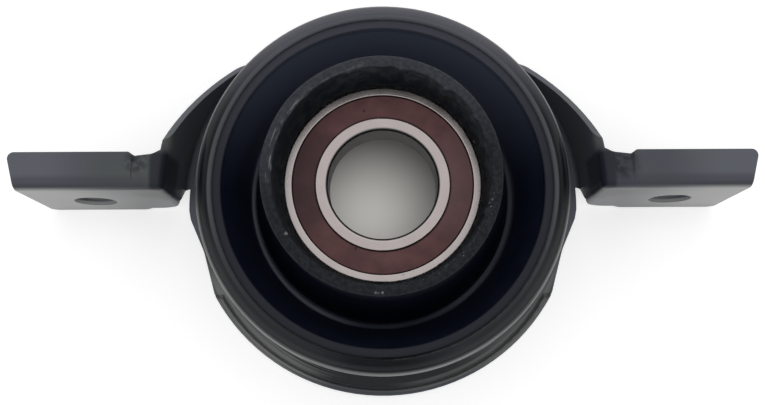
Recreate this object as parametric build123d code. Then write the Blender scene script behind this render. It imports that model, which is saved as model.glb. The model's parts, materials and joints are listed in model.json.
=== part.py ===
from build123d import *
import math
import os

os.makedirs("parts", exist_ok=True)

# The frame: the origin is the bearing's centre, +Z runs along the shaft out of the front,
# +X runs along the bolt wings and +Y is up when the support lies on its back. Millimetres.

# Sealed deep-groove ball bearing
bearing_bore = 30.0
bearing_od = 55.0
bearing_width = 13.0
race_corner = 1.0
race_edge = 0.2            # rounding of every other edge on the races and the seals' rims
ball_count = 11
ball_diameter = 7.144
ball_play = 0.02
groove_share = 0.52        # radius of the ball grooves as a share of the ball's diameter
shoulder_offset = 2.15     # from the pitch circle to the shoulder of each race
inner_step = 0.8           # the inner race is this much smaller beside its shoulder
outer_step = 1.35          # the outer race is this much wider beside its shoulder
seal_groove_depth = 0.65   # undercut that holds the seal's rim

# Seals and their stiffening plates
seal_recess = 0.45         # how far a seal's face lies inside the bearing's face
seal_thickness = 1.45
seal_rim_height = 1.05
seal_gap = 0.1             # the rim's clearance in its groove
seal_lip_gap = 0.05        # running clearance of the lip on the inner race
plate_thickness = 0.4
plate_margin = 1.1         # rubber left inside and outside the plate
seal_edge = 0.25

# Riveted ribbon cage
cage_band = 3.3
cage_sheet = 0.6
pocket_play = 0.12
rivet_diameter = 1.2
rivet_head_diameter = 2.0
rivet_head_height = 0.5

# Steel sleeve that the bearing is pressed into
sleeve_wall = 1.5
stop_lip_reach = 2.5
stop_lip_thickness = 1.5
stop_round = 1.2

# Moulded rubber cushion
mouth_play = 0.1           # the collar's mouth is this much wider than the bearing
mouth_flare = 0.8
collar_height = 15.5       # from the bearing's face to the collar's rim
collar_rim = 2.9
collar_inner_edge = 0.5
collar_outer_edge = 0.8
collar_draft = 0.6
collar_foot_round = 14.0
hub_cover = 4.1            # rubber over the sleeve at the bearing's centre plane
hub_back_cover = 2.55
hub_round = 12.0
well_floor_share = 0.4327  # the well's middle lies this far from the sleeve to the housing
well_floor_width = 1.2
well_floor_round = 0.6
well_floor_depth = 17.0    # below the bearing's centre plane
well_top_inset = 5.2       # the well's outer wall ends this far inside the housing's inner wall
well_top_height = 3.0
well_top_round = 1.5
bead_width = 1.6
bead_height = 5.6
bead_round = 0.7
bead_inset = 0.3           # from the housing's curled edge in to the bead
membrane = 3.65
foot_thickness = 3.5
foot_round = 2.5
foot_inner_share = 0.75    # the foot reaches this share of the membrane inside the well
bond_skin = 1.4
bond_depth = 10.2
bond_round = 0.6
back_groove_height = 6.0
back_groove_share = 0.42   # rounding of the groove's bottom as a share of its width
back_cover = 1.5           # rubber behind the sleeve
stop_cover = 1.0           # and inside its stop lip
back_edge = 0.5

# Pressed housing ring
housing_od = 103.2
housing_sheet = 1.8
housing_front = 6.5
curl_reach = 5.0           # from the outer wall in to the curled edge
curl_radius = 4.0
curl_edge_round = 0.6
curl_under_round = 0.3

# Bracket stamping
back_depth = 29.5          # from the bearing's centre plane to the bracket's back face
bracket_sheet = 1.8
bend_inside = 1.2
wall_gap = 9.1             # from the housing to the side walls
wall_top_sum = 16.0        # the wall's sloping edge lies where height and depth add up to this
wall_foot_rise = 6.2       # the wall's back corner is cut off this high
wall_foot_length = 10.0    # and this long
top_land = 9.9             # from the housing to the plate's upper edge
top_half_angle = 46.0
lip_land = 6.5             # from the housing to the lip's outer face
lip_height = 3.2
lip_bend = 2.2
lip_bend_inside = 0.6
lip_edge = 0.5
lip_gap = 0.35             # the lip starts this far below the waist's foot
lip_root = 1.5             # the lip's bend takes up this much of the plate
waist_upper = (7.51, 4.85)    # land outside the housing, and angle below the wings
waist_lower = (4.97, 15.16)
waist_foot_angle = 28.3
waist_upper_round = 5.0
waist_lower_round = 12.0
waist_start = 2.0          # the waist begins this many degrees below the wings

# Bolt wings
wing_underside = -0.5
flange_fall = 1.5          # degrees that the bolted face falls from the skirt to the back
skirt_height = 10.5
skirt_front = 3.0
web_height = 9.5
web_rise = 2.0
web_end_round = 1.0
web_bend_round = 4.0
web_slope = 0.4
web_length = 6.4           # from the side wall to the notch beside the skirt
notch_width = 1.5
relief_depth = 0.9         # the web is pressed back this far beside the skirt's corner
relief_foot = 2.0          # and fades out this far above the underside
wing_reach = 101.8
skirt_lean = 2.6
skirt_corner = 1.8
skirt_inner_corner = 0.8
fold_radius = 2.0
flange_step = 2.5          # beside the wall the flange is this much shorter
flange_inner_corner = 8.0
flange_outer_corner = 2.5
bolt_hole_diameter = 12.0
bolt_spacing = 169.0
bolt_depth = 15.6          # behind the bearing's centre plane

# Sizes that follow
half_width = bearing_width / 2
pitch_radius = (bearing_bore + bearing_od) / 4
ball_radius = ball_diameter / 2
groove_radius = groove_share * ball_diameter
inner_shoulder = pitch_radius - shoulder_offset
outer_shoulder = pitch_radius + shoulder_offset
inner_land = inner_shoulder - inner_step
seal_bore = outer_shoulder + outer_step
seal_groove = seal_bore + seal_groove_depth
seal_top = half_width - seal_recess
seal_bottom = seal_top - seal_thickness
sleeve_inner = bearing_od / 2
sleeve_outer = sleeve_inner + sleeve_wall
sleeve_back = -half_width - stop_lip_thickness
housing_outer = housing_od / 2
housing_inner = housing_outer - housing_sheet
well_floor_radius = sleeve_outer + well_floor_share * (housing_inner - sleeve_outer)
wall_outer_radius = housing_outer + wall_gap + bracket_sheet
wall_inner_radius = wall_outer_radius - bracket_sheet
bend_outside = bend_inside + bracket_sheet
top_radius = housing_outer + top_land
lip_outer_radius = housing_outer + lip_land
web_end = wall_outer_radius + web_length
skirt_start = web_end + notch_width
fall = math.tan(math.radians(flange_fall))
back = -back_depth


def rounded_outline(corners):
    """A flat outline from corners (x, y, radius), each rounded by its own radius."""
    face = make_face(Polyline(*[(x, y) for x, y, _ in corners], close=True)).face()
    for x, y, radius in corners:
        if radius > 0:
            corner = face.vertices().sort_by_distance((x, y, 0))[0]
            face = face.fillet_2d(radius, [corner])
    return face


def turned(profile):
    """A ring turned about the shaft's axis from a profile of radius and height."""
    return revolve(Plane.XZ * profile, Axis.Z)


def both_sides(corners):
    """A profile that is the same in front of and behind the centre plane."""
    return corners + [(x, -y, radius) for x, y, radius in reversed(corners)]


def inner_race():
    """Inner race with stepped shoulders for the seal lips."""
    step_height = seal_bottom - 3 * seal_gap
    profile = rounded_outline(both_sides([
        (bearing_bore / 2, half_width, race_corner),
        (inner_land, half_width, race_edge),
        (inner_land, step_height, 0),
        (inner_shoulder, step_height, race_edge),
    ]))
    groove_centre = pitch_radius - ball_radius - ball_play + groove_radius
    return turned(profile - Pos(groove_centre, 0) * Circle(groove_radius))


def outer_race():
    """Outer race with an undercut at each side for the seal's rim."""
    rim_top = seal_bottom + seal_rim_height + seal_gap
    profile = rounded_outline(both_sides([
        (bearing_od / 2, half_width, race_corner),
        (seal_bore, half_width, race_edge),
        (seal_bore, rim_top, 0),
        (seal_groove, rim_top, 0),
        (seal_groove, seal_bottom - seal_gap, 0),
        (outer_shoulder, seal_bottom - seal_gap, race_edge),
    ]))
    groove_centre = pitch_radius + ball_radius + ball_play - groove_radius
    return turned(profile - Pos(groove_centre, 0) * Circle(groove_radius))


def ball_places():
    """Centre of each ball on the pitch circle."""
    return [Pos(*Vector(pitch_radius, 0).rotate(Axis.Z, 360 * i / ball_count)) for i in range(ball_count)]


def rivet_places():
    """Centre of each rivet, midway between two balls."""
    return [Rot(0, 0, 180 / ball_count) * place for place in ball_places()]


def cage_half():
    """Front half of the ribbon cage: a flat band that bulges round each ball."""
    band_outer = pitch_radius + cage_band / 2
    pocket = ball_radius + pocket_play
    band = Cylinder(band_outer, 3 * pocket) - Cylinder(band_outer - cage_band, 3 * pocket)
    front = Pos(0, 0, 1.5 * pocket) * Box(3 * band_outer, 3 * band_outer, 3 * pocket)
    flat = extrude(Circle(band_outer), cage_sheet)
    bulges = [place * Sphere(pocket + cage_sheet) for place in ball_places()]
    pockets = [place * Sphere(pocket) for place in ball_places()]
    holes = [place * Cylinder(rivet_diameter / 2, 4 * cage_sheet) for place in rivet_places()]
    return (flat + bulges) & band & front - pockets - holes


def cage_rivet():
    """One rivet through both halves, with a low domed head on each."""
    shank = Cylinder(rivet_diameter / 2, 2 * cage_sheet)
    head = turned(rounded_outline([
        (0, cage_sheet, 0),
        (rivet_head_diameter / 2, cage_sheet, 0),
        (rivet_head_diameter / 2, cage_sheet + rivet_head_height, 0.8 * rivet_head_height),
        (0, cage_sheet + rivet_head_height, 0),
    ]))
    return shank + head + mirror(head, Plane.XY)


def seal():
    """Front seal: a rubber disc with a rim in the outer race and a lip over the inner one."""
    lip = inner_land + seal_lip_gap
    rim = seal_groove - seal_gap
    face_edge = seal_bore - seal_gap
    recess = seal_bottom + plate_thickness
    return turned(rounded_outline([
        (lip, seal_bottom, 0),
        (lip + plate_margin, seal_bottom, 0),
        (lip + plate_margin, recess, 0),
        (rim - plate_margin, recess, 0),
        (rim - plate_margin, seal_bottom, 0),
        (rim, seal_bottom, race_edge),
        (rim, seal_bottom + seal_rim_height, race_edge),
        (face_edge, seal_bottom + seal_rim_height, 0),
        (face_edge, seal_top, seal_edge),
        (lip, seal_top, seal_edge),
    ]))


def seal_plate():
    """Stiffening plate that fills the recess on the seal's inner side."""
    inner = inner_land + seal_lip_gap + plate_margin
    outer = seal_groove - seal_gap - plate_margin
    return Pos(0, 0, seal_bottom) * extrude(Circle(outer) - Circle(inner), plate_thickness)


def bearing_sleeve():
    """Steel sleeve round the outer race, turned in behind it as a stop."""
    return turned(rounded_outline([
        (sleeve_inner, half_width, 0),
        (sleeve_outer, half_width, 0),
        (sleeve_outer, sleeve_back, stop_round),
        (sleeve_inner - stop_lip_reach, sleeve_back, 0),
        (sleeve_inner - stop_lip_reach, -half_width, 0),
        (sleeve_inner, -half_width, 0),
    ]))


def rubber_cushion():
    """One moulding: collar, flared hub, well, bead and the skin bonded to the housing."""
    rim_top = half_width + collar_height
    mouth = sleeve_inner + mouth_play
    rim_outer = mouth + mouth_flare + collar_rim
    floor_inner = well_floor_radius - well_floor_width / 2
    floor_outer = well_floor_radius + well_floor_width / 2
    well_top = housing_inner - well_top_inset
    well_slope = (well_top - floor_outer) / (well_top_height + well_floor_depth)
    curl_edge = housing_outer - curl_reach
    curl_under = housing_front - housing_sheet
    bead_outer = curl_edge - bead_inset
    foot = -well_floor_depth - foot_thickness
    wall_back_foot = floor_outer + membrane - well_slope * foot_thickness
    wall_back_top = wall_back_foot + well_slope * (-back_groove_height - foot)
    skin = housing_inner - bond_skin
    groove_round = back_groove_share * (skin - wall_back_top)
    behind = sleeve_back - back_cover
    return turned(rounded_outline([
        (mouth, half_width, 0),
        (mouth + mouth_flare, rim_top, collar_inner_edge),
        (rim_outer, rim_top, collar_outer_edge),
        (rim_outer + collar_draft, half_width, collar_foot_round),
        (sleeve_outer + hub_cover, 0, hub_round),
        (floor_inner, -well_floor_depth, well_floor_round),
        (floor_outer, -well_floor_depth, well_floor_round),
        (well_top, well_top_height, well_top_round),
        (bead_outer - bead_width, bead_height, bead_round),
        (bead_outer, bead_height, bead_round),
        (bead_outer, curl_under - bead_inset, 0),
        (curl_edge, curl_under, 0),
        (housing_inner, curl_under, curl_radius - housing_sheet),
        (housing_inner, -bond_depth, 0),
        (skin, -bond_depth + bond_skin, bond_round),
        (skin, -back_groove_height, groove_round),
        (wall_back_top, -back_groove_height, groove_round),
        (wall_back_foot, foot, foot_round),
        (floor_inner - foot_inner_share * membrane, foot, foot_round),
        (sleeve_outer + hub_back_cover, behind, back_cover),
        (sleeve_inner - stop_cover, behind, back_edge),
        (sleeve_inner - stop_cover, sleeve_back, 0),
        (sleeve_outer, sleeve_back, stop_round),
        (sleeve_outer, half_width, 0),
    ]))


def housing_ring():
    """Steel ring, open at the back, with its front edge curled inwards over the rubber."""
    curl_edge = housing_outer - curl_reach
    return turned(rounded_outline([
        (housing_inner, back, 0),
        (housing_outer, back, 0),
        (housing_outer, housing_front, curl_radius),
        (curl_edge, housing_front, curl_edge_round),
        (curl_edge, housing_front - housing_sheet, curl_under_round),
        (housing_inner, housing_front - housing_sheet, curl_radius - housing_sheet),
    ]))


def at(radius, degrees):
    """The point at a radius and an angle above the right wing."""
    return radius * math.cos(math.radians(degrees)), radius * math.sin(math.radians(degrees))


def ring_plate():
    """Back plate round the housing, waisted below the wings."""
    base = wall_outer_radius - bend_outside
    turn = 90 - top_half_angle
    upper = at(housing_outer + waist_upper[0], -waist_upper[1])
    lower = at(housing_outer + waist_lower[0], -waist_lower[1])
    side = Curve() + [
        CenterArc((0, 0), top_radius, turn, 90 - turn),
        Line(at(top_radius, turn), at(base, turn)),
        CenterArc((0, 0), base, -waist_start, turn + waist_start),
        Polyline(at(base, -waist_start), upper, lower, at(lip_outer_radius, -waist_foot_angle)),
        CenterArc((0, 0), lip_outer_radius, -90, 90 - waist_foot_angle),
        Line((0, -lip_outer_radius), (0, top_radius)),
    ]
    face = make_face(side).face()
    for (x, y), radius in ((upper, waist_upper_round), (lower, waist_lower_round)):
        corner = face.vertices().sort_by_distance((x, y, 0))[0]
        face = face.fillet_2d(radius, [corner])
    half = Pos(0, 0, back) * extrude(face, bracket_sheet, dir=(0, 0, 1))
    hole = Pos(0, 0, back) * Cylinder(housing_outer, 3 * bracket_sheet)
    return half + mirror(half, Plane.YZ) - hole


def lip_start():
    """Height of the line below which the lip lies."""
    return at(lip_outer_radius, -waist_foot_angle)[1] - lip_gap


def turned_lip():
    """Lip turned forward along the lower edge of the ring plate, run out at both ends."""
    inner = lip_outer_radius - bracket_sheet
    ring = turned(rounded_outline([
        (inner - lip_root, back, 0),
        (lip_outer_radius, back, lip_bend),
        (lip_outer_radius, back + lip_height, lip_edge),
        (inner, back + lip_height, lip_edge),
        (inner, back + bracket_sheet, lip_bend_inside),
        (inner - lip_root, back + bracket_sheet, 0),
    ]))
    rise = 3 * lip_height
    below = make_face(Polyline(
        (lip_start(), back),
        (lip_start(), back + bracket_sheet),
        (lip_start() - rise, back + rise + bracket_sheet),
        (-2 * lip_outer_radius, back + rise + bracket_sheet),
        (-2 * lip_outer_radius, back),
        close=True))
    return ring & extrude(Plane.YZ * below, 2 * lip_outer_radius, both=True)


def lip_bed():
    """The part of the ring plate's rim that the lip takes the place of."""
    inner = lip_outer_radius - bracket_sheet - lip_root
    ring = Cylinder(2 * lip_outer_radius, 3 * back_depth) - Cylinder(inner, 3 * back_depth)
    return ring & Pos(0, lip_start() - 2 * lip_outer_radius, 0) * Box(
        5 * lip_outer_radius, 4 * lip_outer_radius, 5 * back_depth)


def wall_and_skirt():
    """Side wall, both its bends and the skirt as one turned sheet section."""
    base = wall_outer_radius - bend_outside - 1
    return turned(rounded_outline([
        (base, back, 0),
        (wall_outer_radius, back, bend_outside),
        (wall_outer_radius, skirt_front - bracket_sheet, bend_inside),
        (2 * wing_reach, skirt_front - bracket_sheet, 0),
        (2 * wing_reach, skirt_front, 0),
        (wall_inner_radius, skirt_front, bend_outside),
        (wall_inner_radius, back + bracket_sheet, bend_inside),
        (base, back + bracket_sheet, 0),
    ]))


def underside(depth):
    """Height of the bolted face, which falls towards the back."""
    return wing_underside - fall * (skirt_front - depth)


def wing_front_outline():
    """What shows of the wall, the web and the skirt from the front."""
    top = wing_underside + skirt_height
    web_top = wing_underside + web_height
    low = underside(back) - 1
    tip_lean = skirt_lean / skirt_height
    sector = make_face(Polyline(
        (wall_inner_radius / 2, low),
        (2 * wall_outer_radius, low),
        (2 * wall_outer_radius, 2 * wall_outer_radius),
        (wall_inner_radius / 2, 2 * wall_outer_radius),
        close=True))
    plate = rounded_outline([
        (wall_inner_radius - bend_outside, low, 0),
        (wing_reach - tip_lean * (wing_underside - low), low, 0),
        (wing_reach + skirt_lean, top, skirt_corner),
        (skirt_start, top, skirt_inner_corner),
        (web_end, web_top, web_end_round),
        (wall_outer_radius + bend_inside, web_top + web_slope, web_bend_round),
        (wall_inner_radius, web_top + web_rise, 0),
    ])
    return (sector & Circle(wall_outer_radius)) + plate


def wing_side_outline():
    """What shows of the wall from the side: its top slopes down to the back, its foot is cut off."""
    front = skirt_front + bracket_sheet
    foot_end = back + wall_foot_length
    return make_face(Polyline(
        (underside(front), front),
        (wall_top_sum - front, front),
        (wall_top_sum - back + 1, back - 1),
        (wing_underside + wall_foot_rise, back - 1),
        (wing_underside + wall_foot_rise, back),
        (underside(foot_end), foot_end),
        close=True))


def fold_waste():
    """What the rounded fold leaves off the lower edge, along skirt, bend and wall.

    It is swept level and then sloped with the bolted face.
    """
    bend_start = wall_inner_radius + bend_outside
    edge = [
        Line((2 * wing_reach, wing_underside, skirt_front), (bend_start, wing_underside, skirt_front)),
        ThreePointArc((bend_start, wing_underside, skirt_front),
                      (bend_start - bend_outside * math.sqrt(0.5), wing_underside,
                       skirt_front - bend_outside * (1 - math.sqrt(0.5))),
                      (wall_inner_radius, wing_underside, skirt_front - bend_outside)),
        Line((wall_inner_radius, wing_underside, skirt_front - bend_outside),
             (wall_inner_radius, wing_underside, back)),
    ]
    low, high = wing_underside, skirt_front
    corner = make_face(Curve() + [
        Polyline((low, high - fold_radius), (low - 1, high - fold_radius), (low - 1, high + 1),
                 (low + fold_radius, high + 1), (low + fold_radius, high)),
        ThreePointArc((low + fold_radius, high),
                      (low + fold_radius * (1 - math.sqrt(0.5)), high - fold_radius * (1 - math.sqrt(0.5))),
                      (low, high - fold_radius)),
    ])
    level = sweep(Plane((2 * wing_reach, 0, 0), x_dir=(0, 1, 0), z_dir=(1, 0, 0)) * corner, Wire(edge))
    return level.transform_geometry(Matrix([[1, 0, 0, 0], [0, 1, fall, -fall * skirt_front], [0, 0, 1, 0]]))


def web_relief():
    """What the pressed relief takes off the web: nothing at the bend, most beside the skirt."""
    top = wing_underside + web_height
    fade = Vector(wall_inner_radius + bend_outside, top, skirt_front)
    deep = Vector(web_end, top, skirt_front - relief_depth)
    foot = Vector(web_end, wing_underside + relief_foot, skirt_front)
    slope = Plane(fade, x_dir=deep - fade, z_dir=(deep - fade).cross(fade - foot))
    before = slope * Pos(0, 0, wing_reach) * Box(3 * wing_reach, 3 * wing_reach, 2 * wing_reach)
    span = Pos((web_end + skirt_start) / 4, 0, 0) * Box((web_end + skirt_start) / 2, 4 * web_height, 2 * web_height)
    return before & span


def wing():
    """One wing with its wall: the turned section cut to its outlines, with the bolted flange added."""
    depth = 2 * back_depth
    sheet = wall_and_skirt() & extrude(wing_front_outline(), depth, both=True)
    sheet = sheet & extrude(Plane.YZ * wing_side_outline(), 2 * wing_reach, both=True)
    plan = Plane.XZ * rounded_outline([
        (wall_inner_radius, back + flange_step, flange_inner_corner),
        (wall_inner_radius, skirt_front, bend_outside),
        (wing_reach, skirt_front, 0),
        (wing_reach, back, flange_outer_corner),
        (skirt_start + flange_step, back, 0.8 * flange_step),
        (skirt_start, back + flange_step, 0),
    ])
    section = Plane.YZ * make_face(Polyline(
        (underside(skirt_front), skirt_front),
        (underside(skirt_front) + bracket_sheet, skirt_front),
        (underside(back) + bracket_sheet, back),
        (underside(back), back),
        close=True))
    flange = extrude(plan, depth, both=True) & extrude(section, 2 * wing_reach, both=True)
    hole = Pos(bolt_spacing / 2, wing_underside, -bolt_depth) * Rot(90, 0, 0) * Cylinder(
        bolt_hole_diameter / 2, 4 * bracket_sheet)
    return sheet + flange - hole - fold_waste() - web_relief()


def bracket():
    """The whole stamping."""
    side = wing()
    return ring_plate() - lip_bed() + turned_lip() + side + mirror(side, Plane.YZ)


pieces = {
    "bracket": bracket(),
    "housing_ring": housing_ring(),
    "rubber_cushion": rubber_cushion(),
    "bearing_sleeve": bearing_sleeve(),
    "outer_race": outer_race(),
    "inner_race": inner_race(),
    "cage_front": cage_half(),
    "cage_rear": mirror(cage_half(), Plane.XY),
    "cage_rivets": Compound(children=[place * cage_rivet() for place in rivet_places()]),
    "front_seal": seal(),
    "rear_seal": mirror(seal(), Plane.XY),
    "front_seal_plate": seal_plate(),
    "rear_seal_plate": mirror(seal_plate(), Plane.XY),
}
for number, place in enumerate(ball_places(), start=1):
    pieces[f"ball_{number:02d}"] = place * Sphere(ball_radius)

for name, solid in pieces.items():
    export_step(solid, f"parts/{name}.step")
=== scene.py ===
# %% [markdown]
# # A driveshaft centre support bearing
# A long driveshaft is made in two halves, and this part holds the joint between them under the car's
# floor. A ball bearing carries the shaft. A thick rubber cushion lets it tremble without shaking the
# body, and a pressed steel bracket with two wings is bolted to the floor.
# The solid model already has every piece at its real size. This script gives each piece its finish,
# and remakes the rubber moulding with the small roughness that a mould leaves.

# %% Load the solid model
import json
import math
import bpy
import numpy as np
from mathutils import Matrix, Vector


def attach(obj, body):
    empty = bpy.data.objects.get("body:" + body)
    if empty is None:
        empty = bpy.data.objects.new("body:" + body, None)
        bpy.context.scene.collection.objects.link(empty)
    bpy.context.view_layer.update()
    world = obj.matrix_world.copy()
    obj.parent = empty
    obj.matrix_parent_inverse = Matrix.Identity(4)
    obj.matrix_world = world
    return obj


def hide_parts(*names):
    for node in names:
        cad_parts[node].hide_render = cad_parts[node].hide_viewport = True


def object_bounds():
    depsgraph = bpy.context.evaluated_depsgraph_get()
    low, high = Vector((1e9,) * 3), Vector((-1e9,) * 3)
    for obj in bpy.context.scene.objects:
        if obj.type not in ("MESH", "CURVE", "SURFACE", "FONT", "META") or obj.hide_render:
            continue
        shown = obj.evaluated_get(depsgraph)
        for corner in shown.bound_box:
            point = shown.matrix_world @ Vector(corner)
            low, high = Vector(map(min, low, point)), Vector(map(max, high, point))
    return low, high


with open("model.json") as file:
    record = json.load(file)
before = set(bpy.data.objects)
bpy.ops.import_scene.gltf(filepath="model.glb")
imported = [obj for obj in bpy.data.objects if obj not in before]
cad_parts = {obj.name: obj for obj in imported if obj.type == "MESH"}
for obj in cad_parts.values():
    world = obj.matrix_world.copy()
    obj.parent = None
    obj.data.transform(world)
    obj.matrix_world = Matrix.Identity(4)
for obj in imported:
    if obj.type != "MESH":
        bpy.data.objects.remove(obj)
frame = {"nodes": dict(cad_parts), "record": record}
cad_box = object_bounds()
slot_of = {entry["node"]: entry["material_slot"] for entry in frame["record"]["subparts"]}
MM = 0.001
print("solid model, mm:", [round(side / MM, 1) for side in cad_box[1] - cad_box[0]])

# %% [markdown]
# ## The camera
# The part lies on its back, and the photograph looks down on it from a little below its middle.
# The bearing's rings are nearly round in the picture and their centres drift upwards with depth,
# and this gives the lens, the tilt and the distance.

# %% Stand the camera where the photograph was taken
lens_mm = 44.0
sensor_mm = 36.0
nearest_mm = 10.0
tilt = math.radians(8.9)
roll = math.radians(0.27)
eye = Vector((-0.1, -44.3, 256.4)) * MM

camera = bpy.data.objects.new("camera", bpy.data.cameras.new("camera"))
bpy.context.scene.collection.objects.link(camera)
bpy.context.scene.camera = camera
camera.data.lens = lens_mm
camera.data.sensor_width = sensor_mm
camera.data.clip_start = nearest_mm * MM
camera.matrix_world = (Matrix.Translation(eye) @ Matrix.Rotation(tilt, 4, "X")
                       @ Matrix.Rotation(-roll, 4, "Z"))
print("camera:", round(eye.length / MM), "mm from the bearing")

# %% [markdown]
# ## Shader maths
# A finish is a few patterns, such as speckle or turning marks, that change a colour, a roughness or
# a bump. Blender does such sums with Math nodes. The small class below wraps a node's output, so a
# sum can be written as one line of Python, and each operator adds its node.

# %% A number that varies over a surface
class Wire:
    """The output of a node. Arithmetic on it adds Math nodes to the same material."""

    def __init__(self, finish, socket):
        self.finish = finish
        self.socket = socket

    def math(self, operation, *others):
        """Adds a Math node that takes this number first and the others after it."""
        numbers = dict(enumerate((self,) + others))
        return self.finish.node("ShaderNodeMath", {"operation": operation}, numbers)["Value"]

    def __add__(self, other):
        return self.math("ADD", other)

    def __mul__(self, other):
        return self.math("MULTIPLY", other)

    def __sub__(self, other):
        return self.math("SUBTRACT", other)

    def __rsub__(self, other):
        return self.math("MULTIPLY_ADD", -1.0, other)

    def __truediv__(self, other):
        return self.math("DIVIDE", other)

    __radd__ = __add__
    __rmul__ = __mul__

    def capped(self):
        """The same number, but never above 1."""
        return self.math("MINIMUM", 1.0)

    def ramp(self, low, high):
        """0 below low, 1 above high, and a smooth step between. It falls where low is the larger."""
        return self.finish.node("ShaderNodeMapRange", {"interpolation_type": "SMOOTHSTEP"},
                                {"Value": self, "From Min": low, "From Max": high})["Result"]

    def ramp_mm(self, low, high):
        """The same step for a length, with both of its ends in millimetres."""
        return self.ramp(low * MM, high * MM)


print("a wire can be:", [name for name in vars(Wire) if not name.startswith("_")])

# %% [markdown]
# Every finish here is one Principled shader. The class below adds nodes to it, lays colours over one
# another through masks, and bends the surface's direction for a bump or a softened edge. Fixed
# numbers go straight onto the shader, so only what varies needs nodes.

# %% A material that is built from nodes
class Finish:
    """A material with one Principled shader. Fixed numbers are set on the shader's own sockets."""

    def __init__(self, name, **fixed):
        self.material = bpy.data.materials.new(name)
        self.material.use_nodes = True
        self.tree = self.material.node_tree
        self.shader = self.tree.nodes["Principled BSDF"]
        for socket, value in fixed.items():
            self.shader.inputs[socket.replace("_", " ")].default_value = value

    def node(self, kind, settings=None, values=None):
        """Adds a node: first its settings, then the numbers or wires of its sockets."""
        made = self.tree.nodes.new(kind)
        for setting, value in (settings or {}).items():
            setattr(made, setting, value)
        for socket, value in (values or {}).items():
            self.feed(made.inputs[socket], value)
        return {output.name: Wire(self, output) for output in reversed(made.outputs) if output.enabled}

    def feed(self, socket, value):
        """Links a wire to a socket, or sets the socket to a number or a colour."""
        if isinstance(value, Wire):
            self.tree.links.new(value.socket, socket)
        else:
            socket.default_value = value

    def drive(self, **feeds):
        """Links wires to the shader's sockets."""
        for socket, value in feeds.items():
            self.feed(self.shader.inputs[socket.replace("_", " ")], value)

    def mixed(self, factor, first, second):
        """A colour between two colours."""
        return self.node("ShaderNodeMix", {"data_type": "RGBA"}, {
            0: factor, 6: (*first, 1) if isinstance(first, tuple) else first,
            7: (*second, 1) if isinstance(second, tuple) else second})["Result"]

    def layered(self, colour, layers):
        """A colour with others laid over it in turn. Each layer is a mask, a strength and a colour."""
        for mask, strength, tone in layers:
            colour = self.mixed(mask * strength, colour, tone)
        return colour

    def bump(self, height, depth_mm, normal=None):
        """Normal of a surface that height, from 0 to 1, raises by depth_mm."""
        values = {"Height": height, "Distance": depth_mm * MM, "Strength": 1.0}
        if normal:
            values["Normal"] = normal
        return self.node("ShaderNodeBump", {}, values)["Normal"]

    def soft_edges(self, radius_mm):
        """Normal that rounds every edge by radius_mm, as paint and tumbling do."""
        return self.node("ShaderNodeBevel", {"samples": 4}, {"Radius": radius_mm * MM})["Normal"]


print("a finish can be:", [name for name in vars(Finish) if not name.startswith("_")])

# %% [markdown]
# Wear and dust lie in certain places: beside the housing, on the left of the rim, in the well. So the
# next class knows where each point of the part is, both along X, Y and Z and round the shaft, and
# makes masks that are 1 in a place and fade out softly round it.

# %% Patterns and places on the part
RIGHT, FAR, NEAR = 0, 90, 270   # directions from the shaft as the camera sees them, in degrees
STREAK_RADIUS = 28              # where a streak round the shaft has its stated length, in mm


class PartFinish(Finish):
    """A finish that knows its place on the part, in metres, and its angle round the shaft."""

    def __init__(self, name, **fixed):
        super().__init__(name, **fixed)
        self.place = self.node("ShaderNodeTexCoord")["Object"]
        split = self.node("ShaderNodeSeparateXYZ", {}, {"Vector": self.place})
        self.x, self.y, self.height = split["X"], split["Y"], split["Z"]
        self.radius = (self.x * self.x + self.y * self.y).math("SQRT")
        self.angle = self.y.math("ARCTAN2", self.x)

    def grain(self, size_mm, detail=3.0, roughness=0.5):
        """Soft noise with lumps about size_mm across, from 0 to 1."""
        return self.node("ShaderNodeTexNoise", {}, {
            "Vector": self.place, "Scale": 1 / (size_mm * MM),
            "Detail": detail, "Roughness": roughness})["Fac"]

    def ringwise(self, across_mm, along_mm, detail=2.0):
        """Streaks that run round the shaft, about across_mm wide and along_mm long."""
        spread = self.node("ShaderNodeCombineXYZ", {}, {
            "X": self.radius * (1 / (across_mm * MM)), "Y": self.angle * (STREAK_RADIUS / along_mm),
            "Z": self.height * (1 / (across_mm * MM))})["Vector"]
        return self.node("ShaderNodeTexNoise", {}, {
            "Vector": spread, "Scale": 1.0, "Detail": detail})["Fac"]

    def near(self, x_mm, y_mm, z_mm, reach_mm, core=0.3):
        """1 round a point, as far as core of reach_mm, and softly 0 from reach_mm away."""
        distance = self.node("ShaderNodeVectorMath", {"operation": "DISTANCE"}, {
            0: self.place, 1: (x_mm * MM, y_mm * MM, z_mm * MM)})["Value"]
        return 1 - distance.ramp_mm(core * reach_mm, reach_mm)

    def near_both(self, x_mm, y_mm, z_mm, reach_mm, core=0.3):
        """The same round a point and round its mirror image on the other wing."""
        return (self.near(-x_mm, y_mm, z_mm, reach_mm, core)
                + self.near(x_mm, y_mm, z_mm, reach_mm, core))

    def towards(self, degrees, full, gone):
        """1 within full degrees of a direction from the shaft, and softly 0 from gone degrees away.

        The cosine of the angle to that direction is the place's lean towards it over its radius.
        """
        lean = (self.x * math.cos(math.radians(degrees))
                + self.y * math.sin(math.radians(degrees)))
        return (lean / self.radius).ramp(math.cos(math.radians(gone)), math.cos(math.radians(full)))

    def ring(self, inner_mm, outer_mm, soft_mm=0.4):
        """1 between two distances from the shaft, with sides soft_mm wide."""
        return (self.radius.ramp_mm(inner_mm - soft_mm, inner_mm)
                * (1 - self.radius.ramp_mm(outer_mm, outer_mm + soft_mm)))


print("masks and patterns:", [name for name in vars(PartFinish) if not name.startswith("_")])

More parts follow.
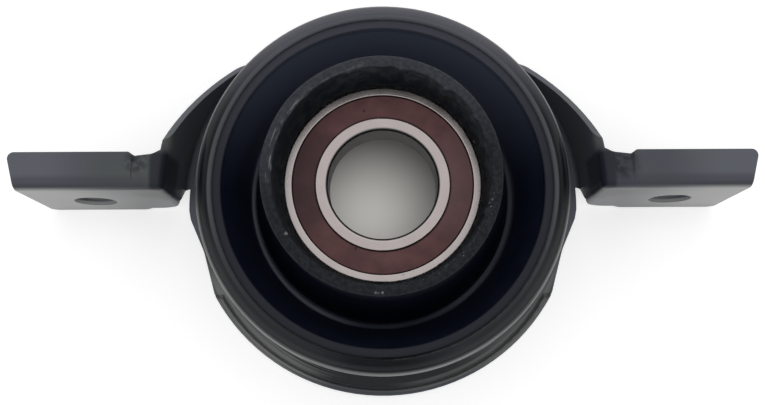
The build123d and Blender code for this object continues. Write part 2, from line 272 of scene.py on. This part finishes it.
# %% [markdown]
# ## Black paint on pressed steel
# The bracket and the housing are dipped in black paint. It is satin, a little uneven like orange peel,
# and thinner over the edges, which are also painted paler as a highlight. The colour is not pure black:
# it wavers between a blue and a green grey. Noise at three sizes gives the wavering, the peel and the
# dust. The edges are found by comparing the surface's direction with that of the same surface rounded
# off.

# %% Satin black paint
DUST = (0.085, 0.088, 0.088)
THIN_AND_HIGHLIT_PAINT = (0.135, 0.140, 0.132)
RUBBED_PAINT = (0.26, 0.265, 0.26)


# The edges get thin paint and a painted highlight, both in one paler colour.
def thin_and_highlit_edges(paint):
    """1 along the edges, where the true surface and one rounded by 0.7 mm face different ways."""
    flat = paint.node("ShaderNodeNewGeometry")["Normal"]
    turn = paint.node("ShaderNodeVectorMath", {"operation": "DOT_PRODUCT"}, {
        0: paint.soft_edges(0.7), 1: flat})["Value"]
    return (1 - turn).ramp(0.01, 0.16) * paint.grain(2.4).ramp(0.25, 0.6)


def black_paint(name, blue, green, gloss, layers, wear, crown=None):
    """Paint that wavers between two shades.

    layers takes the finish and returns what lies on the paint, with painted light and shade among it.
    wear returns a mask of rubbed places, which on the housing holds a painted highlight too, and crown,
    if there is one, the height of a rounding under the paint, from 0 to 1.
    """
    paint = PartFinish(name, IOR=1.5, Specular_IOR_Level=gloss)
    clouds = paint.grain(26, detail=2.0)
    peel = paint.grain(1.3, detail=2.0)
    dust = paint.grain(0.4, detail=4.0, roughness=0.7).ramp(0.60, 0.80)
    edge, rubbed = thin_and_highlit_edges(paint), wear(paint)
    colour = paint.layered(paint.mixed(clouds.ramp(0.38, 0.62), blue, green), layers(paint))
    # The edge layer is thin paint with a painted highlight. On the housing the rubbed layer also
    # carries a painted highlight.
    colour = paint.layered(colour, [(dust, 0.2, DUST), (edge, 0.7, THIN_AND_HIGHLIT_PAINT),
                                    (rubbed, 1.0, RUBBED_PAINT)])
    normal = paint.soft_edges(0.45)
    if crown:
        normal = paint.bump(crown(paint), depth_mm=1.0, normal=normal)
    for height, depth_mm in ((peel, 0.02), (dust, 0.006), (rubbed, 0.01)):
        normal = paint.bump(height, depth_mm, normal)
    paint.drive(Base_Color=colour, Normal=normal,
                Roughness=0.27 + clouds * 0.10 + dust * 0.15 + edge * 0.12 + rubbed * 0.1)
    return paint.material


print("paint: dust, thin and rubbed paint are", DUST, THIN_AND_HIGHLIT_PAINT, RUBBED_PAINT)

# %% [markdown]
# The bracket's ring plate has painted shade on its near side and painted light in its step and beside
# the housing, and fine strokes run round it where stampings were stacked. On the wings the webs, the
# folds, the inner corners and the notches have painted shade, the skirts are paler towards their ends,
# and the bolted undersides have a painted reflection of the white table.

# %% What lies on the ring plate
HOUSING_RADIUS = 51.6   # of the housing's outer side, in mm


def plate_layers(paint):
    """Masks, strengths and colours on the ring plate, from the housing outwards, with painted shade and
    painted light among them.
    """
    # Painted shade on the near side of the plate.
    painted_shade_near_side = paint.ring(51.0, 55.6) * paint.towards(NEAR, full=22, gone=48)
    # Painted light in the step on the near side.
    step = paint.ring(55.9, 56.9, soft_mm=0.2) * paint.towards(NEAR, full=60, gone=75)
    shoulders = (paint.near(-40, -36, -27.7, reach_mm=22) * 0.75
                 + paint.near(40, -36, -27.7, reach_mm=20) * 0.45)
    scuffed = paint.towards(225, full=12, gone=30) + paint.towards(310, full=22, gone=40) * 0.45
    scuffs = (paint.ring(54.8, 57.0) * scuffed
              * (0.35 + paint.ringwise(0.8, 60.0).ramp(0.35, 0.60) * 0.5))
    # Painted light on the plate beside the housing, at both sides, in a pale and a blue tone.
    sides = paint.towards(158, full=20, gone=42) + paint.towards(22, full=20, gone=42)
    painted_light_beside_housing = paint.ring(HOUSING_RADIUS, 58.0, soft_mm=3.0) * sides
    painted_blue_light_beside_housing = paint.ring(HOUSING_RADIUS, 59.0, soft_mm=2.5) * sides
    return [(painted_shade_near_side, 0.85, (0.019, 0.022, 0.025)),
            (step, 0.8, (0.124, 0.129, 0.134)),
            (shoulders, 1.0, (0.149, 0.152, 0.154)),
            (scuffs, 1.0, (0.30, 0.305, 0.30)),
            (painted_light_beside_housing, 0.8, (0.209, 0.222, 0.250)),
            (painted_blue_light_beside_housing, 0.6, (0.109, 0.119, 0.154))]


def stacking_marks(paint):
    """Fine strokes that run round the plate on its lower left and right."""
    strokes = paint.ringwise(0.28, 34.0).ramp(0.44, 0.62)
    places = (paint.near(-38, -38, -28, reach_mm=32)
              + paint.near(39, -37, -28, reach_mm=28) * 0.75)
    return strokes * places * paint.grain(6.0).ramp(0.25, 0.50)


# %% What lies on the wings
def wing_layers(paint):
    """Masks, strengths and colours on the arms, the webs, the skirts and the flanges.

    The bolted faces lie just below Y = 0, the webs and skirts above it, and the wings along X.
    """
    across = paint.x.math("ABSOLUTE")
    # Painted shade on the webs.
    web = ((1 - across.ramp_mm(63.8, 65.2)) * paint.radius.ramp_mm(57.5, 59.0)
           * paint.height.ramp_mm(-16, -12) * (1 - paint.y.ramp_mm(9.0, 11.0)))
    skirt_ends = paint.y.ramp_mm(0.3, 1.5) * across.ramp_mm(76, 96)
    # Painted reflection of the white table on the bolted undersides, palest towards the wing ends.
    painted_reflection_underside = ((1 - paint.y.ramp_mm(-0.5, 0.3))
                 * (paint.near(-100, -0.8, -12, reach_mm=34) + paint.near(100, -0.8, -12, reach_mm=31)))
    # Painted shade in the fold along the wings.
    fold = (paint.y.ramp_mm(-0.2, 0.5) * (1 - paint.y.ramp_mm(2.0, 4.0))
            * paint.height.ramp_mm(-1.0, 1.0) * across.ramp_mm(64, 67))
    arm_ends = paint.near_both(60.3, 12.8, 0, reach_mm=3.2, core=0.5)
    # Painted shade in the inner corners beside the wall and round the notches.
    corners = paint.near_both(63.5, -0.8, -5, reach_mm=10)
    patchy = paint.grain(1.6, detail=2.0).ramp(0.35, 0.60)
    notches = (paint.near(-68.2, 7.2, 3, reach_mm=4.6) * patchy * 0.75
               + paint.near(66.5, 6.0, 3, reach_mm=6.0) * (0.55 + patchy * 0.4))
    return [(web, 0.9, (0.012, 0.014, 0.024)),
            (skirt_ends, 0.9, (0.116, 0.121, 0.146)),
            (painted_reflection_underside, 0.9, (0.345, 0.345, 0.345)),
            (fold, 0.6, (0.050, 0.048, 0.066)),
            (arm_ends, 0.8, (0.130, 0.134, 0.128)),
            ((corners * 0.9 + notches).capped(), 1.0, (0.014, 0.016, 0.024))]


def bracket_layers(paint):
    """All that lies on the bracket, the ring plate first and the wings after it."""
    return plate_layers(paint) + wing_layers(paint)


# %% [markdown]
# The housing's front edge is curled inwards. A painted sheen pales the curl, most on its far side, and
# its inner edge has a painted highlight and its lower corners painted light. A thin pale line, rubbed
# paint with a painted highlight, runs where the curl meets the ring's side. The drawn curl is a little
# rounder than a flat land, which a bump adds under the paint.

# %% What lies on the housing
CURL_RADIUS = 46.8   # of the curl's inner edge, in mm


def lower_corners(paint):
    """1 towards the lower left and the lower right."""
    return paint.towards(225, full=15, gone=40) + paint.towards(315, full=15, gone=40)


def housing_layers(paint):
    """Masks, strengths and colours on the curl: a painted highlight on its inner edge, painted light on
    its lower corners and a painted sheen on its far side.
    """
    # Painted highlight along the curl's inner edge.
    inner_edge = paint.ring(46.7, 47.6, soft_mm=0.5) * (1 - paint.towards(NEAR, full=18, gone=75))
    # Painted light on the curl's lower corners.
    corners = paint.ring(CURL_RADIUS, 51.0, soft_mm=0.5) * lower_corners(paint)
    # Painted sheen on the far side of the curl.
    painted_sheen_far_side = paint.ring(CURL_RADIUS, HOUSING_RADIUS) * paint.towards(FAR, full=25, gone=72)
    return [(inner_edge, 0.9, (0.085, 0.090, 0.100)),
            (corners, 0.6, (0.040, 0.041, 0.045)),
            (painted_sheen_far_side, 0.85, (0.100, 0.099, 0.122))]


def rubbed_rim_and_highlight(paint):
    """A thin pale line where the curl meets the ring's side, rubbed paint with a painted highlight on
    it, and faint strokes on the curl.
    """
    line = (paint.height.ramp_mm(2.4, 3.0) * (1 - paint.height.ramp_mm(4.2, 5.6))
            * paint.radius.ramp_mm(49.8, 51.2))
    uneven = paint.ringwise(0.8, 16.0).ramp(0.25, 0.62)
    strokes = paint.ringwise(0.16, 22.0).ramp(0.60, 0.70) * paint.grain(7.0).ramp(0.45, 0.65)
    return line * uneven * (0.85 + lower_corners(paint) * 0.10) + strokes * 0.10


def curl_crown(paint, crown_mm=47.2, reach_mm=2.8):
    """1 as far as the crown's radius, and from there less by the square of the way to its reach."""
    away = (paint.radius - crown_mm * MM) * (1 / (reach_mm * MM))
    away = away.math("MAXIMUM", 0.0).capped()
    return 1 - away * away


# %% Paint the bracket and the housing
def dress(node, material):
    """Gives a solid model's node its finish."""
    mesh = frame["nodes"][node].data
    mesh.materials.clear()
    mesh.materials.append(material)


satin_paint = black_paint(
    "satin_black_paint", blue=(0.072, 0.074, 0.098), green=(0.074, 0.084, 0.084), gloss=0.25,
    layers=bracket_layers, wear=stacking_marks)
deep_paint = black_paint(
    "deep_black_paint", blue=(0.004, 0.005, 0.009), green=(0.005, 0.007, 0.009), gloss=0.12,
    layers=housing_layers, wear=rubbed_rim_and_highlight, crown=curl_crown)
dress("bracket", satin_paint)
dress("housing_ring", deep_paint)
print("nodes in the bracket's paint:", len(satin_paint.node_tree.nodes),
      "and in the housing's:", len(deep_paint.node_tree.nodes))

# %% [markdown]
# ## The shape of the rubber cushion
# The cushion is one moulding: a tall collar round the bearing's mouth, a hub that flares down into a
# deep ring-shaped well, and a skin bonded to the housing. Its section is a row of corners, each
# rounded by its own radius. Points are laid along it, closer on the collar, where the detail is.

# %% Points along a rounded section
ARC_POINTS = 9


def rounded_section(corners, fine_above, fine, coarse):
    """Points of a closed outline of (radius, height, rounding) corners, all in millimetres.

    Each corner becomes an arc that touches both of its sides, and the straight runs between arcs are
    divided into steps of at most fine where they lie above the given height, and coarse below it.
    An arc's centre lies on the corner's bisector, at the rounding over the sine of half its angle.
    """
    spots = np.array([corner[:2] for corner in corners], float)
    rounding = np.array([corner[2] for corner in corners], float)
    arcs = []
    previous, following = np.roll(spots, 1, 0), np.roll(spots, -1, 0)
    for before, spot, after, radius in zip(previous, spots, following, rounding):
        if radius <= 0:
            arcs.append(spot[None])
            continue
        back, ahead = before - spot, after - spot
        back, ahead = back / np.linalg.norm(back), ahead / np.linalg.norm(ahead)
        half = math.acos(np.clip(back @ ahead, -1, 1)) / 2
        bisector = (back + ahead) / np.linalg.norm(back + ahead)
        centre = spot + bisector * radius / math.sin(half)
        start, end = spot + back * radius / math.tan(half), spot + ahead * radius / math.tan(half)
        share = np.linspace(0, 1, ARC_POINTS)[:, None]
        swing = math.pi - 2 * half
        blend = np.sin((1 - share) * swing) * (start - centre) + np.sin(share * swing) * (end - centre)
        arcs.append(centre + blend / math.sin(swing))
    outline = []
    for arc, next_arc in zip(arcs, arcs[1:] + arcs[:1]):
        outline.append(arc)
        run = next_arc[0] - arc[-1]
        step = fine if max(arc[-1][1], next_arc[0][1]) > fine_above else coarse
        inner = np.linspace(0, 1, int(np.linalg.norm(run) / step) + 2)[1:-1, None]
        outline.append(arc[-1] + inner * run)
    return np.vstack(outline)


# %% The cushion's corners
cushion_corners = [
    # the collar: its mouth, its rim and its outer side down to the hub
    (27.6, 6.5, 0), (28.4, 22.0, 0.5), (31.3, 22.0, 0.8), (31.9, 6.5, 14.0), (33.1, 0.0, 12.0),
    # the well's floor, its outer wall and the bead beside the housing's curl
    (37.3, -17.0, 0.6), (38.7, -17.0, 0.6), (44.2, 3.0, 1.5), (44.25, 5.6, 0.5), (46.85, 5.5, 0.2),
    # the skin on the housing
    (46.75, 4.7, 0), (49.8, 4.7, 2.2), (49.8, -10.2, 0), (48.4, -8.8, 0.6),
    # the groove behind the well's wall, and the foot
    (48.4, -6.0, 1.19), (45.55, -6.0, 1.19), (41.2, -20.5, 2.5), (34.66, -20.5, 2.5),
    # the back of the hub, and the bore that holds the sleeve
    (31.55, -9.5, 1.5), (26.5, -9.5, 0.5), (26.5, -8.0, 0), (29.0, -8.0, 1.2), (29.0, 6.5, 0)]
section = rounded_section(cushion_corners, fine_above=7.0, fine=0.6, coarse=2.0)
print("section of the cushion:", len(section), "points")

# %% [markdown]
# ## Unevenness from the mould
# The collar's mouth isn't clean: flash is left round it in lumps, more on the right, and the rim
# dips a little. A sum of waves round the ring, with random sizes and phases from a fixed seed, gives
# lumps that close up on themselves. The rough mouth moves only in and out, and fades with depth.

# %% Lumps that run round a ring
rng = np.random.default_rng(7)


def lumps(angle, along, slowest, fastest, drift):
    """Sum of waves round the ring from slowest to fastest per turn, scaled to about -1 to 1.

    drift is how far each wave's phase moves, in turns, over one millimetre along the section.
    """
    count = np.arange(slowest, fastest)
    size = rng.normal(size=count.size) / np.sqrt(count)
    phase = rng.uniform(0, 2 * np.pi, count.size)
    slide = rng.normal(size=count.size) * 2 * np.pi * drift
    waves = np.cos(angle[..., None] * count + phase + along[..., None] * slide)
    return (waves * size).sum(-1) / (2 * np.sqrt((size ** 2).sum() / 2))


def smooth(value, low, high):
    """0 below low and 1 above high. Between, three times the share's square less twice its cube."""
    share = np.clip((value - low) / (high - low), 0, 1)
    return share * share * (3 - 2 * share)


print("a smooth step in quarters:", smooth(np.linspace(0, 1, 5), 0, 1))

# %% Turn the section round the shaft
flash_depth, brim_depth, brim_lumps = 0.75, 0.58, 0.32   # inwards, in mm, as all below
rim_dips, rim_waves, outside_dips = 0.22, 0.15, 0.10
collar_lean, floor_lean = 0.3, 0.5                       # to the left, as the rubber has given


def inner_wall(radius):
    """1 on the collar's wall towards the shaft, and 0 on its rim and its outer side."""
    return 1 - smooth(radius, 28.6, 29.4)


def cushion_surface(around=256):
    """Grid of points: the section turned by an angle, with the lumps added to radius and height.

    A point lies at the radius times the angle's cosine and sine, and the lean moves it along X.
    """
    angle = np.linspace(0, 2 * np.pi, around, endpoint=False)[:, None]
    radius = np.broadcast_to(section[:, 0], (around, len(section))).copy()
    height = np.broadcast_to(section[:, 1], (around, len(section))).copy()
    angle = np.broadcast_to(angle, radius.shape)

    mouth = smooth(height, 6.6, 9.0) * inner_wall(radius)
    right_side = 0.35 + 0.65 * smooth(np.cos(angle - 0.35), -0.2, 0.9)
    flash = np.clip(lumps(angle, height, 7, 80, 0.05) + 0.15, 0, None)
    radius = radius - mouth * right_side * flash_depth * flash

    brim = smooth(height, 6.55, 7.0) * (1 - smooth(height, 8.0, 11.5)) * inner_wall(radius)
    radius = radius - brim * (brim_depth + brim_lumps * lumps(angle, height, 12, 110, 0.0))

    rim = smooth(height, 20.5, 21.8)
    dips = np.clip(0.5 + 0.5 * lumps(angle, radius, 2, 24, 0.02), 0, None)
    height = height - rim * rim_dips * dips
    radius = radius + rim * rim_waves * lumps(angle, radius, 3, 20, 0.0) * smooth(30.0 - radius, 0, 1)

    outside = smooth(height, 0.0, 8.0) * smooth(radius, 29.6, 30.6)
    radius = radius - outside * outside_dips * (0.5 + 0.5 * lumps(angle, height, 2, 14, 0.01))

    in_well = smooth(-height, 8.0, 15.0) * (1 - smooth(radius, 40, 44))
    lean = collar_lean * smooth(height, 8.0, 20.0) + floor_lean * in_well
    return np.stack([radius * np.cos(angle) - lean, radius * np.sin(angle), height], -1) * MM


surface = cushion_surface()
print("grid of the cushion:", surface.shape[0], "by", surface.shape[1], "points, top at",
      round(surface[..., 2].max() / MM, 2), "mm")

# %% [markdown]
# ## Rubber
# Fresh rubber is nearly black with a navy shade, and it is duller where the mould was rough. Painted
# light pales the well's far wall, the bead's far side, the edge of the well's floor and the far side of
# the collar's rim, and painted shade darkens the hub's near side. The collar has been handled: fine
# pale scratches run round its left edge, and a few crumbs sit on it. Streaks that follow the ring come
# from noise that is read in turns and millimetres of radius.

# %% Shades in the well
def well_layers(rubber):
    """Masks, strengths and colours: painted shade on the hub's near side, and painted light on the
    well's far wall, the bead's far side and the edge of the well's floor.
    """
    far_side = rubber.towards(FAR, full=12, gone=92)
    # Painted shade on the hub's near side.
    hub = (rubber.ring(30.9, 36.5, soft_mm=0.5) * (1 - rubber.height.ramp_mm(19.5, 21.0))
           * rubber.towards(NEAR, full=60, gone=115))
    # Painted light on the bead's far side.
    bead = rubber.height.ramp_mm(4.9, 5.4) * rubber.ring(43.8, 47.0)
    # Painted light on the edge of the well's floor, most on the left and the right.
    floor_edge = rubber.ring(37.2, 38.4, soft_mm=0.5) * (1 - rubber.height.ramp_mm(-15.5, -12.5))
    sides = rubber.towards(205, full=25, gone=60) + rubber.towards(335, full=20, gone=50) * 0.4
    return [(hub, 0.9, (0.0015, 0.0025, 0.0070)),
            # Painted light on the well's far wall.
            (rubber.ring(38.5, 44.2, soft_mm=2.0) * far_side, 0.95, (0.098, 0.116, 0.165)),
            (bead, 1.0, rubber.mixed(far_side, (0.028, 0.030, 0.039), (0.056, 0.058, 0.074))),
            (floor_edge * (0.15 + sides * 0.85), 1.0, (0.145, 0.155, 0.195))]


# %% Shades on the collar
def collar_rim(rubber):
    """1 on the collar's flat rim."""
    return rubber.height.ramp_mm(20.6, 21.7)


def collar_inside(rubber):
    """1 on the wall inside the collar."""
    return (1 - rubber.radius.ramp_mm(28.3, 28.9)) * (1 - collar_rim(rubber))


def collar_layers(rubber):
    """Masks, strengths and colours on the rim, which is mottled and has painted light on its far side,
    and on the wall inside it, which has painted light on its upper right.
    """
    rim, inside = collar_rim(rubber), collar_inside(rubber)
    mottle = rubber.grain(1.1, detail=4.0).ramp(0.35, 0.65)
    pitch = rubber.grain(3.0, detail=2.0).ramp(0.40, 0.68)
    # Painted light on the far side of the rim.
    upper_rim = rim * rubber.towards(105, full=55, gone=95)
    lit_wall = inside * rubber.height.ramp_mm(9, 21) * rubber.towards(60, full=40, gone=75)
    return [(rim, 1.0, rubber.mixed(mottle, (0.010, 0.0115, 0.0155), (0.020, 0.0225, 0.0270))),
            (upper_rim, 0.6, rubber.mixed(mottle, (0.042, 0.047, 0.060), (0.062, 0.067, 0.080))),
            (inside, 1.0, rubber.mixed(pitch, (0.0060, 0.0080, 0.0125), (0.0140, 0.0175, 0.0185))),
            (lit_wall, 0.8, rubber.mixed(pitch, (0.026, 0.030, 0.038), (0.062, 0.068, 0.080)))]


# %% Scratches, specks and crumbs on the rim
crumbs = [(-1.9, -30.4, 21.7, 0.5, 0.5), (-1.2, -30.5, 21.7, 0.4, 0.4), (-0.2, -30.4, 21.7, 0.5, 0.7),
          (-24.6, -15.4, 21.3, 0.8, 1.0), (-23.9, -16.4, 21.3, 0.4, 1.0)]   # place, size, strength


def pale_marks(rubber):
    """1 in the scratches on the rim's left, the specks on its right and the crumbs."""
    worn = (rubber.towards(160, full=14, gone=26) * 0.75
            + rubber.towards(118, full=8, gone=24) * 0.30)
    scratches = (rubber.ringwise(0.16, 9.0, detail=1.5).ramp(0.52, 0.62)
                 * rubber.ring(28.8, 29.9, soft_mm=0.3) * collar_rim(rubber)
                 * rubber.grain(2.0).ramp(0.38, 0.52))
    specks = (rubber.grain(0.5, detail=1.0).ramp(0.66, 0.74) * rubber.ring(28.0, 29.6, soft_mm=0.3)
              * rubber.towards(318, full=22, gone=48))
    marks = scratches * worn + specks * 0.35
    for x_mm, y_mm, z_mm, size_mm, strength in crumbs:
        marks = marks + rubber.near(x_mm, y_mm, z_mm, reach_mm=size_mm) * strength
    return marks.capped()


print("crumbs on the rim:", len(crumbs))

# %% Moulded black rubber
SCRATCHED_RUBBER = (0.29, 0.30, 0.29)


def moulded_rubber():
    """Navy black rubber in two shades, with what lies in the well and on the collar."""
    rubber = PartFinish("moulded_black_rubber", IOR=1.45, Specular_IOR_Level=0.13)
    clouds = rubber.grain(8)
    skin = rubber.grain(0.5)
    lathe = rubber.ringwise(0.35, 40)
    pale = pale_marks(rubber)
    colour = rubber.mixed(clouds.ramp(0.3, 0.7), (0.0085, 0.0130, 0.0300), (0.0130, 0.0180, 0.0370))
    colour = rubber.layered(colour, well_layers(rubber) + collar_layers(rubber)
                            + [(pale, 1.0, SCRATCHED_RUBBER)])
    normal = None
    for height, depth_mm in ((skin, 0.03), (lathe, 0.02), (pale, 0.05)):
        normal = rubber.bump(height, depth_mm, normal)
    rubber.drive(Base_Color=colour, Normal=normal,
                 Roughness=0.42 + clouds * 0.16 + lathe * 0.08 + collar_inside(rubber) * 0.2)
    return rubber.material


cushion_rubber = moulded_rubber()
print("nodes in the cushion's rubber:", len(cushion_rubber.node_tree.nodes))

# %% [markdown]
# The grid of points closes on itself both round the shaft and along the section. So the mesh is all
# four-sided faces, with no seam and no open edge. It rides on the same body as the plain solid whose
# place it takes, so that it stays where it is while the shaft turns.

# %% The moulded cushion takes the plain solid's place
def closed_ring(name, grid, material):
    """Mesh of a grid that closes on itself both ways, with its faces pointing outwards.

    Each face joins a point, the next one along the section and both of their neighbours round the
    ring, and np.roll carries the last row and column on to the first.
    """
    around, along = grid.shape[:2]
    index = np.arange(around * along).reshape(around, along)
    turned, further = np.roll(index, -1, 0), np.roll(index, -1, 1)
    faces = np.stack([index, further, np.roll(turned, -1, 1), turned], -1).reshape(-1, 4)
    mesh = bpy.data.meshes.new(name)
    mesh.from_pydata(grid.reshape(-1, 3), [], faces)
    mesh.shade_smooth()
    mesh.materials.append(material)
    ring = bpy.data.objects.new(name, mesh)
    bpy.context.scene.collection.objects.link(ring)
    return ring


cushion = closed_ring("moulded_cushion", surface, cushion_rubber)
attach(cushion, "support")
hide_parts("rubber_cushion")
print("cushion:", 2 * len(cushion.data.polygons), "triangles, radius up to",
      round(np.hypot(surface[..., 0], surface[..., 1]).max() / MM, 2), "mm")

# %% [markdown]
# ## The bearing
# Its rings are ground steel with fine turning lines, and the hidden balls share that finish. Its seals
# are brown-red rubber, with painted shade on their left and in the gaps beside them and painted light
# on their right, and the steel has painted shade in the chamfers, where it meets the bore and the
# collar. Both are made from noise that runs round the shaft, because every piece here was turned or
# moulded round.

# %% Ground steel
def ground_steel():
    """Steel whose colour wavers, with stains, with its own tone on each of its parts and with painted
    shade in its chamfers.
    """
    steel = PartFinish("ground_bearing_steel", Metallic=1.0)
    lines = steel.ringwise(0.10, 60)
    clouds = steel.grain(5.0)
    satin = steel.grain(0.35)
    stain = steel.grain(0.9).ramp(0.62, 0.72) * steel.grain(9.0).ramp(0.5, 0.7)
    inner_ring = 1 - steel.radius.ramp_mm(18.5, 20.0)
    bore = 1 - steel.radius.ramp_mm(15.2, 16.0)
    # Painted shade in the chamfers, where the steel meets the bore and the collar.
    outer_chamfer = steel.radius.ramp_mm(26.9, 27.1)
    bore_chamfer = steel.height.ramp_mm(4.9, 5.5) * (1 - steel.radius.ramp_mm(15.4, 15.8))
    colour = steel.layered(steel.mixed(clouds, (0.48, 0.43, 0.425), (0.61, 0.56, 0.55)), [
        (stain, 0.35, (0.30, 0.26, 0.24)),
        (inner_ring, 0.3, (0.46, 0.38, 0.37)),
        (bore, 0.9, (0.62, 0.60, 0.59)),
        (outer_chamfer, 0.9, (0.020, 0.018, 0.018)),
        (bore_chamfer, 0.85, (0.050, 0.047, 0.046))])
    normal = steel.bump(lines, depth_mm=0.003, normal=steel.soft_edges(0.15))
    steel.drive(Base_Color=colour, Normal=steel.bump(satin, depth_mm=0.002, normal=normal),
                Roughness=0.17 + clouds * 0.08 + satin * 0.08 + stain * 0.1)
    return steel.material


bearing_steel = ground_steel()
print("nodes in the ground steel:", len(bearing_steel.node_tree.nodes))

# %% Seal rubber
def brown_rubber():
    """Brown-red rubber with painted shade on its left, painted light on its right and black painted
    shade in its gaps and nicks.
    """
    rubber = PartFinish("brown_red_seal_rubber", IOR=1.45, Specular_IOR_Level=0.25)
    clouds = rubber.grain(5.5, detail=4.0)
    specks = rubber.grain(0.45)
    moulding = rubber.ringwise(0.5, 50)
    # Painted shade in the gaps beside the seal and in its nicks.
    gap = rubber.radius.ramp_mm(18.85, 18.35) + rubber.radius.ramp_mm(24.25, 24.65)
    nicks = rubber.near(-5.1, 20.4, 6, reach_mm=0.6) + rubber.near(-7.4, -17.6, 6, reach_mm=0.6)
    colour = rubber.mixed(clouds.ramp(0.3, 0.7), (0.132, 0.060, 0.062), (0.185, 0.084, 0.086))
    colour = rubber.layered(colour, [
        # Painted shade on the seal's left and painted light on its right.
        (rubber.towards(175, full=12, gone=50), 0.7, (0.058, 0.033, 0.036)),
        (rubber.towards(RIGHT, full=12, gone=50), 0.5, (0.190, 0.115, 0.118)),
        ((gap + nicks * 0.6).capped(), 1.0, (0.010, 0.005, 0.005))])
    normal = rubber.bump(specks, depth_mm=0.015)
    rubber.drive(Base_Color=colour, Normal=rubber.bump(moulding, depth_mm=0.02, normal=normal),
                 Roughness=0.46 + specks * 0.15)
    return rubber.material


seal_rubber = brown_rubber()
print("nodes in the seals' rubber:", len(seal_rubber.node_tree.nodes))

# %% [markdown]
# The balls' cage, the seals' plates and the sleeve are pressed from sheet steel, so streaks from
# drawing run round them. They are mostly out of sight, and one finish in two shades serves them all.

# %% Pressed steel
def pressed_steel(name, light):
    """Drawn sheet whose colour wavers from light to four fifths of it, and a little warmer."""
    steel = PartFinish(name, Metallic=1.0)
    clouds = steel.grain(3.0)
    drawn = steel.ringwise(0.2, 30)
    colour = steel.mixed(clouds, (light * 0.8, light * 0.78, light * 0.75),
                         (light, light * 0.98, light * 0.95))
    steel.drive(Base_Color=colour, Roughness=0.27 + clouds * 0.15 + drawn * 0.08,
                Normal=steel.bump(drawn, depth_mm=0.01, normal=steel.soft_edges(0.15)))
    return steel.material


plain_steel = pressed_steel("plain_pressed_steel", light=0.42)
cage_steel = pressed_steel("bright_cage_steel", light=0.6)
print("nodes in each pressed steel:", len(plain_steel.node_tree.nodes))

# %% Finish the bearing's pieces
finish_of = {"bearing_steel": bearing_steel, "seal_rubber": seal_rubber,
             "plain_steel": plain_steel, "cage_steel": cage_steel}
for node, slot in slot_of.items():
    if slot in finish_of:
        dress(node, finish_of[slot])
print("finished the bearing's", sum(slot in finish_of for slot in slot_of.values()), "pieces")

# %% [markdown]
# ## Floor and light
# The part was photographed on a white table in a bright room. The room's light is a little stronger
# from the far side than from the near one. The table looks white to the camera and in reflections,
# which is done by adding a glow that only those rays see, so the part isn't lit by it.

# %% A white floor
def table_glow(white, height_mm):
    """Colour of the glow: even outside the housing, and under the bore a warm spot of painted light
    that fades.
    """
    path = white.node("ShaderNodeLightPath")
    across = white.x.math("ABSOLUTE")
    under_wings = (white.y.ramp_mm(0.2, 1.6) * (1 - white.y.ramp_mm(10, 14))
                   * across.ramp_mm(64, 69) * (1 - across.ramp_mm(96, 101)))
    outside = white.radius.ramp_mm(50, 58) * (1 - under_wings)
    even = (path["Is Camera Ray"] * 0.60 + path["Is Glossy Ray"] * 0.62) * outside
    # Painted light on the floor under the bore, a warm spot that fades.
    spot = path["Is Camera Ray"] * white.near(-4, -3, height_mm, reach_mm=28, core=0.0) * 0.33
    glow = white.node("ShaderNodeCombineColor", {}, {
        "Red": even + spot, "Green": even + spot * 0.97, "Blue": even + spot * 0.90})["Color"]
    return glow, under_wings


def white_floor(height, reach=3.0, shade=(0.62, 0.62, 0.62), wing_shade=(0.235, 0.235, 0.235)):
    """A square of white paper under the part, darker in the shade of the wings."""
    mesh = bpy.data.meshes.new("floor")
    mesh.from_pydata([(-reach, -reach, height), (reach, -reach, height), (reach, reach, height),
                      (-reach, reach, height)], [], [(0, 1, 2, 3)])
    floor = bpy.data.objects.new("floor", mesh)
    bpy.context.scene.collection.objects.link(floor)
    white = PartFinish("white_table", Roughness=0.9, Emission_Strength=1.0)
    glow, under_wings = table_glow(white, height / MM)
    white.drive(Base_Color=white.mixed(under_wings, shade, wing_shade), Emission_Color=glow)
    mesh.materials.append(white.material)
    return floor


floor = white_floor(cad_box[0].z)
print("floor at", round(cad_box[0].z / MM, 1), "mm")

# %% Light from the whole room
near_light, far_light = 0.62, 1.0


def bright_room(near_side, far_side, lean=0.9):
    """Even light, from near_side at -Y to far_side at +Y in step with the direction's lean."""
    sky = bpy.data.worlds.new("room")
    bpy.context.scene.world = sky
    sky.use_nodes = True
    nodes, links = sky.node_tree.nodes, sky.node_tree.links
    where = nodes.new("ShaderNodeTexCoord")
    split = nodes.new("ShaderNodeSeparateXYZ")
    rise = nodes.new("ShaderNodeMapRange")
    links.new(where.outputs["Generated"], split.inputs["Vector"])
    links.new(split.outputs["Y"], rise.inputs["Value"])
    limits = {"From Min": -lean, "From Max": lean, "To Min": near_side, "To Max": far_side}
    for socket, value in limits.items():
        rise.inputs[socket].default_value = value
    links.new(rise.outputs["Result"], nodes["Background"].inputs["Strength"])
    nodes["Background"].inputs["Color"].default_value = (1, 1, 1, 1)


bright_room(near_light, far_light)
bpy.context.scene.view_settings.view_transform = "Standard"
print("room light: from", near_light, "on the near side to", far_light, "on the far side")
